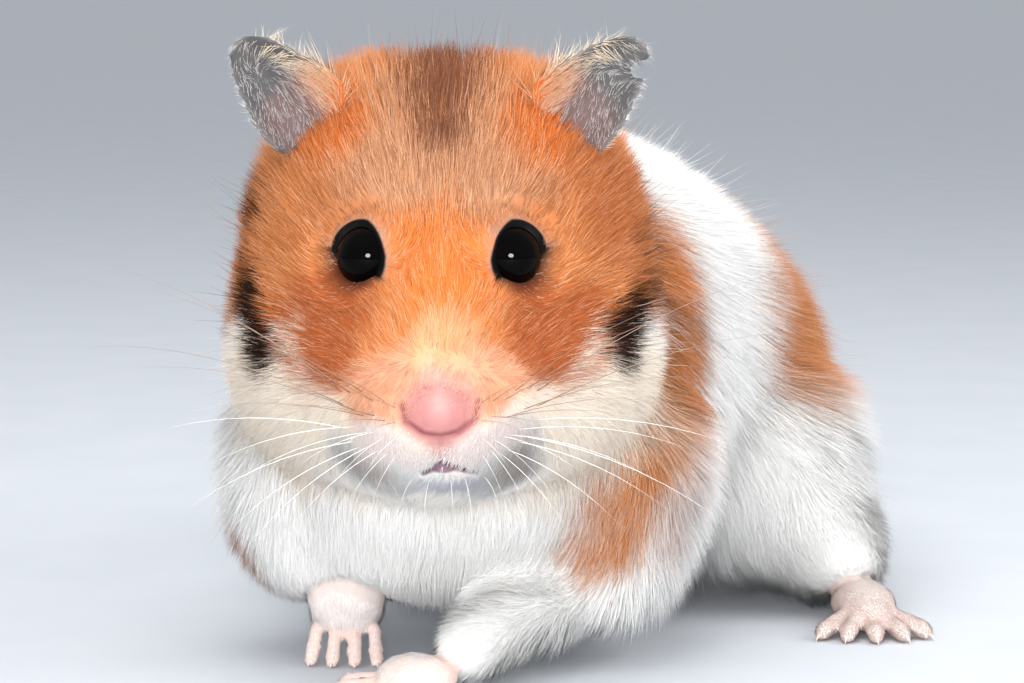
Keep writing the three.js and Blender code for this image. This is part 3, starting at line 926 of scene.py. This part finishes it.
# %% Gather the tips into locks
def gather(places, around, size, pull, shift):
    """Pulls places towards the middle of all those whose roots share a cell of a wavy grid."""
    wavy = around + 0.5 * size * np.stack([ripple(around, size * 3, shift + k) for k in range(3)], axis=1)
    cells = np.floor(wavy / size + shift * 0.37).astype(np.int64)
    key = cells[:, 0] * 1000003 + cells[:, 1] * 1009 + cells[:, 2]
    _, group = np.unique(key, return_inverse=True)
    count = np.bincount(group)
    means = np.stack([np.bincount(group, places[:, k]) / count for k in range(3)], axis=1)
    root_means = np.stack([np.bincount(group, around[:, k]) / count for k in range(3)], axis=1)
    common = around + (means - root_means)[group]
    middle = means[group]
    return places + (middle - common) * pull[:, None] * 0.6 + (common - places) * pull[:, None] * 0.4


SMALL_LOCK = 1.7
LARGE_LOCK = 4.5
lock_pull = np.clip(0.35 + 0.1 * depth, 0, 0.65) * (1 - root_paw) * rng.uniform(0.4, 1.2, tuft_count)
tips = gather(tips, roots, SMALL_LOCK, lock_pull, 31)
long_pull = lock_pull * step(depth, 2.4, 2)
tips = gather(tips, roots, LARGE_LOCK, long_pull * 0.45, 41)
FLOOR_CLEARANCE = 0.08
for places in (starts, tips):
    places[:, 2] = np.maximum(places[:, 2], FLOOR_CLEARANCE)

# %% [markdown]
# Hair varies from strand to strand. In the orange fur some strands are pale at the tip and some
# are dark, and under the eyes there is fine dark ticking. So each strand draws a random value, and
# takes a little of the colours round it. The part of a tuft that shows is the part near its tip,
# so that is where its marking is read.

# %% Colour of each tuft
SEEN_SHARE = 0.7
strand = rng.random(tuft_count)
seen = starts + (tips - starts) * SEEN_SHARE
blur = 0.3 + 0.2 * depth + 0.7 * spot(roots, (0, 0, 68), (12, 14, 9), 0.5)
tones = markings_and_painted_light(seen + rng.normal(size=(tuft_count, 3)) * blur[:, None])
redness = np.clip((tones[:, 0] - tones[:, 2]) * 1.6, 0, 1)
pale = (strand > 0.8) * redness * rng.uniform(0.1, 0.5, tuft_count)
tones = paint(tones, hue(240, 206, 174), pale)
dark = (strand < 0.2) * redness * rng.uniform(0.15, 0.55, tuft_count)
tones = paint(tones, hue(110, 58, 34), dark)
ticking = (strand < 0.35) * spot(roots, (0, -12, 60), (16, 12, 9), 0.5) * 0.4
tones = paint(tones, hue(116, 70, 48), ticking)
for side in (-1, 1):
    cheek = spot(roots, (side * 14, -16, 42), (9, 9, 8), 0.5)
    temple = spot(roots, (side * 17, -10, 54), (6, 8, 8), 0.6)
    freckled = ((strand > 0.4) & (strand < 0.58)) * np.maximum(cheek, temple)
    tones = paint(tones, hue(100, 52, 32), 0.45 * freckled)
for color, share in [
    (hue(236, 200, 164), 0.45 * root_leaf * (1 - root_ear)),
    (hue(190, 187, 184), root_ear),
    (hue(226, 222, 216), root_ear * ear_rim(roots)),
    (hue(236, 214, 184), root_ear * fringe),
    (hue(248, 240, 236), root_paw),
]:
    tones = paint(tones, color, share)
for middle in EYES.values():
    round_eye = 1 - step(distance(roots, middle), EYE_RADIUS + 0.8, 0.9)
    tones = paint(tones, hue(176, 152, 142), 0.7 * round_eye)

# %% Regions of the coat
LARGEST_PIECE = 190000
REGIONS = {
    "muzzle": (0, -24, 36),
    "brow": (0, -14, 58),
    "cheek_left": (19, -6, 42),
    "cheek_right": (-19, -6, 42),
    "crown": (0, 8, 72),
    "throat": (0, -4, 20),
    "nape": (5, 24, 62),
    "shoulder_left": (30, 10, 25),
    "shoulder_right": (-24, 14, 25),
    "back": (22, 50, 58),
    "flank_left": (46, 48, 30),
    "flank_right": (-10, 50, 30),
    "rump": (32, 82, 30),
}

# %% Shape of the tufts
SPIKE_FACES = np.array([(1, 2, 0), (0, 3, 1), (1, 3, 2), (0, 2, 3)])
PATCH = 0.003
SPIKE_PATCH = np.array([(-0.5, -0.5), (0.5, -0.5), (0, -0.2), (0, 0.5)])
SPIKE_ALONG = np.array([0, 0, 0, 1.0])


def spikes(which):
    """The four points of each tuft: root triangle and tip."""
    side = across[which] * (width[which] / 2)[:, None]
    rise = root_normals[which] * (width[which] * 0.4)[:, None]
    ends = starts[which]
    return np.stack([ends - side, ends + side, ends + rise, tips[which]], axis=1)


# %% Shading of the tufts
soft_normals = root_normals.copy()
for side, middle in EYES.items():
    away = roots - (middle - 2.0 * gaze(side))
    near = 1 - step(distance(roots, middle), 5.2, 2.4)
    soft_normals = soft_normals + 2.5 * near[:, None] * unit(away)
soft_normals = unit(soft_normals)


def tuft_normals(which, shape):
    """Shading normals: mostly the skin's, so that the coat is lit softly, as real fur is."""
    centre = (shape[:, :1] + shape[:, 1:2]) / 2
    outward = unit(shape - centre - along[which][:, None] * 0.2)
    return unit(soft_normals[which][:, None] * 0.8 + outward * 0.14)


# %% One piece of the coat
def coat_piece(name, which):
    """One mesh from the chosen tufts."""
    shape = spikes(which)
    count, size = shape.shape[:2]
    faces = (SPIKE_FACES[None] + size * np.arange(count)[:, None, None]).reshape(-1, 3)
    mesh = bpy.data.meshes.new(name)
    mesh.vertices.add(count * size)
    mesh.vertices.foreach_set("co", to_row(shape.reshape(-1, 3)).ravel())
    mesh.loops.add(faces.size)
    mesh.loops.foreach_set("vertex_index", faces.ravel())
    mesh.polygons.add(len(faces))
    mesh.polygons.foreach_set("loop_start", np.arange(0, faces.size, 3))
    mesh.update(calc_edges=True)
    piece = bpy.data.objects.new(name, mesh)
    bpy.context.scene.collection.objects.link(piece)
    write_color(piece, "markings_and_painted_light", np.repeat(tones[which], size, axis=0))
    write_value(piece, "strand", np.repeat(strand[which], size))
    write_value(piece, "along", np.tile(SPIKE_ALONG, count))
    patches = root_uv[which][:, None] + SPIKE_PATCH[None] * PATCH
    layer = mesh.uv_layers.new(name=UV_MAP)
    layer.data.foreach_set("uv", patches.reshape(-1, 2)[faces.ravel()].astype(np.float32).ravel())
    mesh.polygons.foreach_set("use_smooth", np.ones(len(faces), bool))
    mesh.normals_split_custom_set_from_vertices(tuft_normals(which, shape).reshape(-1, 3))
    print(name, count, "tufts,", len(faces), "triangles")
    return piece


# %% Build the coat
middles = np.array(list(REGIONS.values()), float)
nearest = np.argmin(np.linalg.norm(roots[:, None] - middles[None], axis=2), axis=1)
coat = []
for number, region in enumerate(REGIONS):
    members = np.nonzero(nearest == number)[0]
    pieces = max(1, math.ceil(len(members) * len(SPIKE_FACES) / LARGEST_PIECE))
    for part, which in enumerate(np.array_split(members, pieces)):
        coat.append(coat_piece(f"coat_{region}_{part + 1}", which))
print("coat:", sum(len(piece.data.polygons) for piece in coat), "triangles")

# %% [markdown]
# The frame's eyes are faceted balls, and a glossy ball shows every facet. So each is replaced by a
# fine sphere with a slight cornea in front, whose gloss is a clear coat over near-black.

# %% Eyes
def build_eye(name, side):
    place = to_row(EYES[side])
    bpy.ops.object.select_all(action="DESELECT")
    bpy.ops.mesh.primitive_uv_sphere_add(segments=64, ring_count=40, radius=EYE_RADIUS * MM, location=place)
    ball = bpy.context.view_layer.objects.active
    ball.name = name + "_ball"
    bpy.ops.object.transform_apply(location=True, rotation=True, scale=True)
    points = points_of(ball)
    away = points - EYES[side]
    bulge = np.clip((unit(away) @ gaze(side) - 0.75) / 0.25, 0, 1) ** 2
    set_points(ball, points + away * 0.03 * bulge[:, None])
    bpy.ops.object.shade_smooth()
    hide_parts(name)
    return ball


eyes = [build_eye("eye_left", 1), build_eye("eye_right", -1)]

# %% [markdown]
# Whiskers and claws are both curved and tapered. Each is drawn as a Bezier curve whose radius
# shrinks to its tip, and turned into a closed mesh.

# %% A tapered horn or hair
def tapered(start, bend, end, thickness, steps=7, sides=2):
    """A closed tube along a bent line, thin at its end, in the animal's own frame."""
    bpy.ops.object.select_all(action="DESELECT")
    bpy.ops.curve.primitive_bezier_curve_add()
    curve = bpy.context.view_layer.objects.active
    curve.matrix_world = Matrix.Identity(4)
    curve.data.dimensions = "3D"
    curve.data.resolution_u = steps
    curve.data.bevel_depth = thickness / 2 * MM
    curve.data.bevel_resolution = sides
    curve.data.use_fill_caps = True
    start, bend, end = (Vector(to_row(place)) for place in (start, bend, end))
    first, last = curve.data.splines[0].bezier_points
    for point in (first, last):
        point.handle_left_type = point.handle_right_type = "FREE"
    first.co, first.handle_left, first.handle_right = start, start, start.lerp(bend, 2 / 3)
    last.co, last.handle_left, last.handle_right = end, end.lerp(bend, 2 / 3), end
    first.radius, last.radius = 1.0, 0.08
    bpy.ops.object.convert(target="MESH")
    return bpy.context.view_layer.objects.active


def join(pieces, name):
    whole = join_all(pieces)
    whole.name = name
    bpy.ops.object.transform_apply(location=True, rotation=True, scale=True)
    merge_doubles(whole)
    bpy.ops.object.shade_smooth()
    return whole


# %% [markdown]
# Each toe ends in a small pale claw. The toes fan out from the palm, so the same few numbers that
# lay the toes out also give the place and the way of every claw.

# %% The toes
TOES = {
    "forepaw_left": dict(heading=190, spread=58, digits=4, length=8.6, reach=2.2, row=5.4, knuckle=2.3),
    "forepaw_right": dict(heading=266, spread=26, digits=4, length=4.2, reach=0.4, row=6.6, knuckle=0.6),
    "hindfoot_left": dict(heading=272, spread=70, digits=5, length=9, reach=4, row=5.4, knuckle=2.4),
    "hindfoot_right": dict(heading=245, spread=60, digits=5, length=9, reach=4, row=5.4, knuckle=2.4),
}


def toe_curve(palm, toes, number):
    """Root, bend and tip of one toe."""
    share = number / (toes["digits"] - 1) - 0.5
    heading = math.radians(toes["heading"])
    angle = math.radians(toes["heading"] + share * toes["spread"])
    forward = np.array([math.cos(heading), math.sin(heading), 0])
    beside = np.array([-forward[1], forward[0], 0])
    outward = np.array([math.cos(angle), math.sin(angle), 0])
    root = np.array(palm) + beside * share * toes["row"] + forward * toes["reach"]
    root[2] *= 0.7
    reach = toes["length"] * (1 - 0.5 * share * share)
    bend = root + outward * 0.6 * reach
    bend[2] = toes["knuckle"]
    tip = root + outward * reach
    tip[2] = 0.1
    return root, bend, tip


def on_curve(ends, share):
    root, bend, tip = ends
    return root * (1 - share) ** 2 + bend * 2 * share * (1 - share) + tip * share ** 2


# %% Claws
CLAW_THICKNESS = 0.55
claws = []
for name, toes in TOES.items():
    for number in range(toes["digits"]):
        ends = toe_curve(PALMS[name], toes, number)
        start = on_curve(ends, 0.84)
        tip = on_curve(ends, 1.02)
        bend = (start + tip) / 2 + np.array([0, 0, 0.5])
        for place in (start, bend, tip):
            place[2] = max(place[2], 0.12)
        start[2] = max(start[2], 0.5)
        claws.append(tapered(start, bend, tip, CLAW_THICKNESS, steps=5))
claws = join(claws, "claws")
print("claws:", len(claws.data.polygons), "faces")

# %% [markdown]
# The whiskers grow in rows from the pads beside the nose, the hindmost longest. Those at the front
# hang down over the lips, and the long ones sweep out to the sides.

# %% Whiskers
WHISKER_ROWS = 4
WHISKERS_IN_ROW = 6
SIDE_LIMIT = 38.0


def whisker_root(x, z):
    """The place on the muzzle's skin behind a spot seen from the front."""
    lane = np.hypot(skin_points[:, 0] - x, skin_points[:, 2] - z)
    lane = np.where(skin_points[:, 1] < -8, lane, np.inf)
    return skin_points[np.argmin(lane)]


whiskers = []
for side in (-1, 1):
    for row in range(WHISKER_ROWS):
        for place in range(WHISKERS_IN_ROW):
            back = place / (WHISKERS_IN_ROW - 1)
            x = 0.4 + side * (4.6 + 4.6 * back + 0.5 * row * back)
            z = 29.6 + 1.9 * row + 1.0 * back + rng.uniform(-0.4, 0.4)
            start = whisker_root(x, z)
            rise = -0.95 + 0.42 * row + 0.55 * back + rng.uniform(-0.12, 0.12)
            way = unit(np.array([side * (0.55 + 0.75 * back), -0.5 + 0.55 * back, rise]))
            reach = (7 + 21 * back ** 1.3) * rng.uniform(0.8, 1.15) * (1.1 if row > 1 else 0.85)
            end = start + way * reach
            end[0] = max(end[0], -SIDE_LIMIT)
            bend = (start + end) / 2 + np.array([side * 0.04, -0.07, 0.09]) * reach
            end[2] -= 0.1 * reach
            thickness = 0.06 + 0.045 * back
            whiskers.append(tapered(start, bend, end, thickness, steps=8, sides=0))
for x in (-2.4, -0.6, 1.6, 3.2, 5.2):
    start = whisker_root(x, 26.9)
    end = start + np.array([0.35 * (x - 1), -1.5, -rng.uniform(3, 6.5)])
    bend = (start + end) / 2 + np.array([0.2 * (x - 1), -0.5, 0.3])
    whiskers.append(tapered(start, bend, end, 0.07, steps=6, sides=0))
whiskers = join(whiskers, "whiskers")
whisker_points = points_of(whiskers)
height_on_pad = whisker_points[:, 2] - 0.12 * np.abs(whisker_points[:, 0])
write_value(whiskers, "darkness", step(height_on_pad, 32.0, 2))
print("whiskers:", len(whiskers.data.polygons), "faces")

# %% [markdown]
# Finishes are drawn as node trees. To keep the sums readable, a small class wraps a node's output,
# so that ordinary signs such as * and + add the Math nodes.

# %% Shader sums
class Wire:
    """An output of a node that takes part in sums."""

    def __init__(self, finish, socket):
        self.finish = finish
        self.socket = socket

    def sum(self, operation, left, right):
        return self.finish.add("ShaderNodeMath", {"operation": operation}, {0: left, 1: right})

    def __add__(self, other):
        return self.sum("ADD", self, other)

    def __sub__(self, other):
        return self.sum("SUBTRACT", self, other)

    def __mul__(self, other):
        return self.sum("MULTIPLY", self, other)

    def __pow__(self, other):
        return self.sum("POWER", self, other)

    def __rsub__(self, other):
        return self.sum("SUBTRACT", other, self)

    __radd__ = __add__
    __rmul__ = __mul__


# %% Finishes
class Finish:
    """A material with its Principled shader, and helpers that add nodes to it."""

    def __init__(self, name, **constants):
        self.material = bpy.data.materials.new(name)
        self.material.use_nodes = True
        self.tree = self.material.node_tree
        self.shader = self.tree.nodes["Principled BSDF"]
        for key, value in constants.items():
            self.shader.inputs[key.replace("_", " ")].default_value = value
        self.place = self.add("ShaderNodeTexCoord", output="Object")

    def add(self, kind, settings=None, inputs=None, output=0):
        node = self.tree.nodes.new(kind)
        for key, value in (settings or {}).items():
            setattr(node, key, value)
        for key, value in (inputs or {}).items():
            self.feed(node.inputs[key], value)
        return Wire(self, node.outputs[output])

    def feed(self, socket, value):
        if isinstance(value, Wire):
            self.tree.links.new(value.socket, socket)
        else:
            socket.default_value = value

    def noise(self, scale, detail):
        inputs = {"Vector": self.place, "Scale": scale, "Detail": detail}
        return self.add("ShaderNodeTexNoise", None, inputs)

    def attribute(self, name, output="Fac"):
        return self.add("ShaderNodeAttribute", {"attribute_name": name}, None, output)

    def blend(self, share, under, over):
        inputs = {0: share, 6: (*under, 1), 7: (*over, 1)}
        return self.add("ShaderNodeMix", {"data_type": "RGBA"}, inputs, 2)

    def scaled(self, color, factor):
        return self.add("ShaderNodeVectorMath", {"operation": "SCALE"}, {0: color, 3: factor})

    def bump(self, height, strength, distance_mm):
        inputs = {"Height": height, "Strength": strength, "Distance": distance_mm * MM}
        self.feed(self.shader.inputs["Normal"], self.add("ShaderNodeBump", None, inputs))

    def color(self, value):
        self.feed(self.shader.inputs["Base Color"], value)

    def roughness(self, value):
        self.feed(self.shader.inputs["Roughness"], value)

    def cover(self, *pieces):
        for piece in pieces:
            piece.data.materials.clear()
            piece.data.materials.append(self.material)


# %% Coat finish
coat_finish = Finish("coat_finish", Specular_IOR_Level=0.05)
hair_tone = coat_finish.attribute("markings_and_painted_light", "Color")
hair_strand = coat_finish.attribute("strand")
hair_along = coat_finish.attribute("along")
patchy = coat_finish.noise(140, 3)
# Each tuft is darker towards its root, a painted shade where the hairs shade each other; the strand and
# patchy terms are random tone.
tone_and_root_shade = 0.9 + 0.12 * hair_along ** 0.8 + 0.16 * (hair_strand - 0.5) + 0.2 * (patchy - 0.5)
coat_finish.color(coat_finish.scaled(hair_tone, tone_and_root_shade))
coat_finish.roughness(0.5 + 0.2 * hair_strand)
coat_finish.cover(*coat)

# %% Skin finish
skin_finish = Finish("skin_finish", Specular_IOR_Level=0.1)
skin_tone = skin_finish.attribute("markings_and_painted_light", "Color")
pores = skin_finish.noise(900, 3)
mottle = skin_finish.noise(260, 2)
skin_finish.color(skin_finish.scaled(skin_tone, 0.86 + 0.16 * pores + 0.14 * mottle))
skin_finish.roughness(0.42 + 0.2 * mottle)
cells = {"Vector": skin_finish.place, "Scale": 900.0}
creases = skin_finish.add("ShaderNodeTexVoronoi", {"feature": "DISTANCE_TO_EDGE"}, cells)
skin_finish.bump(pores + 0.6 * creases, 0.35, 0.12)
skin_finish.cover(skin)

# %% Eye and claw finishes
def mottled(name, pieces, grain, tones, roughness, **constants):
    """Covers pieces in a finish whose tone and roughness wander. Roughness is a least and a rise."""
    finish = Finish(name, **constants)
    share = finish.noise(*grain)
    finish.color(finish.blend(share, *tones))
    least, rise = roughness
    finish.roughness(least + rise * share)
    finish.cover(*pieces)


EYE_GLOSS = dict(Coat_Weight=0.7, Coat_Roughness=0.03, Coat_IOR=1.16, Specular_IOR_Level=0.0)
EYE_TONES = hue(2, 2, 3), hue(6, 4, 4)
mottled("eye_finish", eyes, (700, 2), EYE_TONES, (0.1, 0.08), **EYE_GLOSS)
CLAW_GLOSS = dict(Coat_Weight=0.3, Coat_Roughness=0.2)
CLAW_TONES = hue(226, 184, 170), hue(250, 232, 220)
mottled("claw_finish", [claws], (1500, 2), CLAW_TONES, (0.3, 0.2), **CLAW_GLOSS)

# %% Whisker finish
whisker_finish = Finish("whisker_finish", Specular_IOR_Level=0.5)
darkness = whisker_finish.attribute("darkness")
sheen = whisker_finish.noise(400, 1)
whisker_finish.color(whisker_finish.blend(darkness, hue(250, 246, 238), hue(146, 116, 96)))
whisker_finish.roughness(0.3 + 0.2 * sheen)
whisker_finish.cover(whiskers)

# %% [markdown]
# The floor is a plain pale sheet, large enough to fill every view. The light is that of a small
# studio: broad lamps above, in front and to one side, and a small one by the camera. A hamster's
# eye shows one bright point, so those lamps don't show in reflections, and one more lamp shows
# only there.

# %% Floor
FLOOR_SIDE = 14.0
FLOOR_GAP = 0.00005
bpy.ops.object.select_all(action="DESELECT")
bpy.ops.mesh.primitive_plane_add(size=FLOOR_SIDE, location=(0, 0, -FLOOR_GAP))
floor = bpy.context.view_layer.objects.active
floor.name = "floor"
bpy.ops.object.transform_apply(location=True, rotation=True, scale=True)
FLOOR_TONES = hue(196, 200, 206), hue(206, 209, 214)
mottled("floor_finish", [floor], (60, 4), FLOOR_TONES, (0.75, 0.1), Specular_IOR_Level=0.2)


# %% Lights
def lamp(name, place, aim, size, watts):
    data = bpy.data.lights.new(name, "AREA")
    data.shape = "DISK"
    data.size = size
    data.energy = watts
    light = bpy.data.objects.new(name, data)
    light.location = to_row(place)
    way = Vector(to_row(aim)) - light.location
    light.rotation_euler = way.to_track_quat("-Z", "Y").to_euler()
    bpy.context.scene.collection.objects.link(light)
    return light


FACE = (2, -10, 42)
broad_lamps = [
    lamp("lamp_above", (-60, -60, 520), (15, 25, 20), 0.5, 1.9),
    lamp("lamp_front", (-120, -420, 160), FACE, 0.34, 0.95),
    lamp("lamp_side", (400, -60, 240), (30, 40, 30), 0.3, 1.05),
]
for light in broad_lamps:
    light.visible_glossy = False
lamp("lamp_camera", (8, -345, 92), FACE, 0.05, 0.6).visible_glossy = False
lamp("lamp_catchlight", (14, -345, 96), FACE, 0.085, 2.6).visible_diffuse = False
world = bpy.data.worlds.new("studio")
world.use_nodes = True
world.node_tree.nodes["Background"].inputs[0].default_value = (0.93, 0.96, 1.0, 1)
world.node_tree.nodes["Background"].inputs[1].default_value = 0.7
bpy.context.scene.world = world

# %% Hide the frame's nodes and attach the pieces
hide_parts(*FLESH, *BARE_NODES)
for piece in [skin, claws, whiskers, *coat, *eyes]:
    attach(piece, "root")
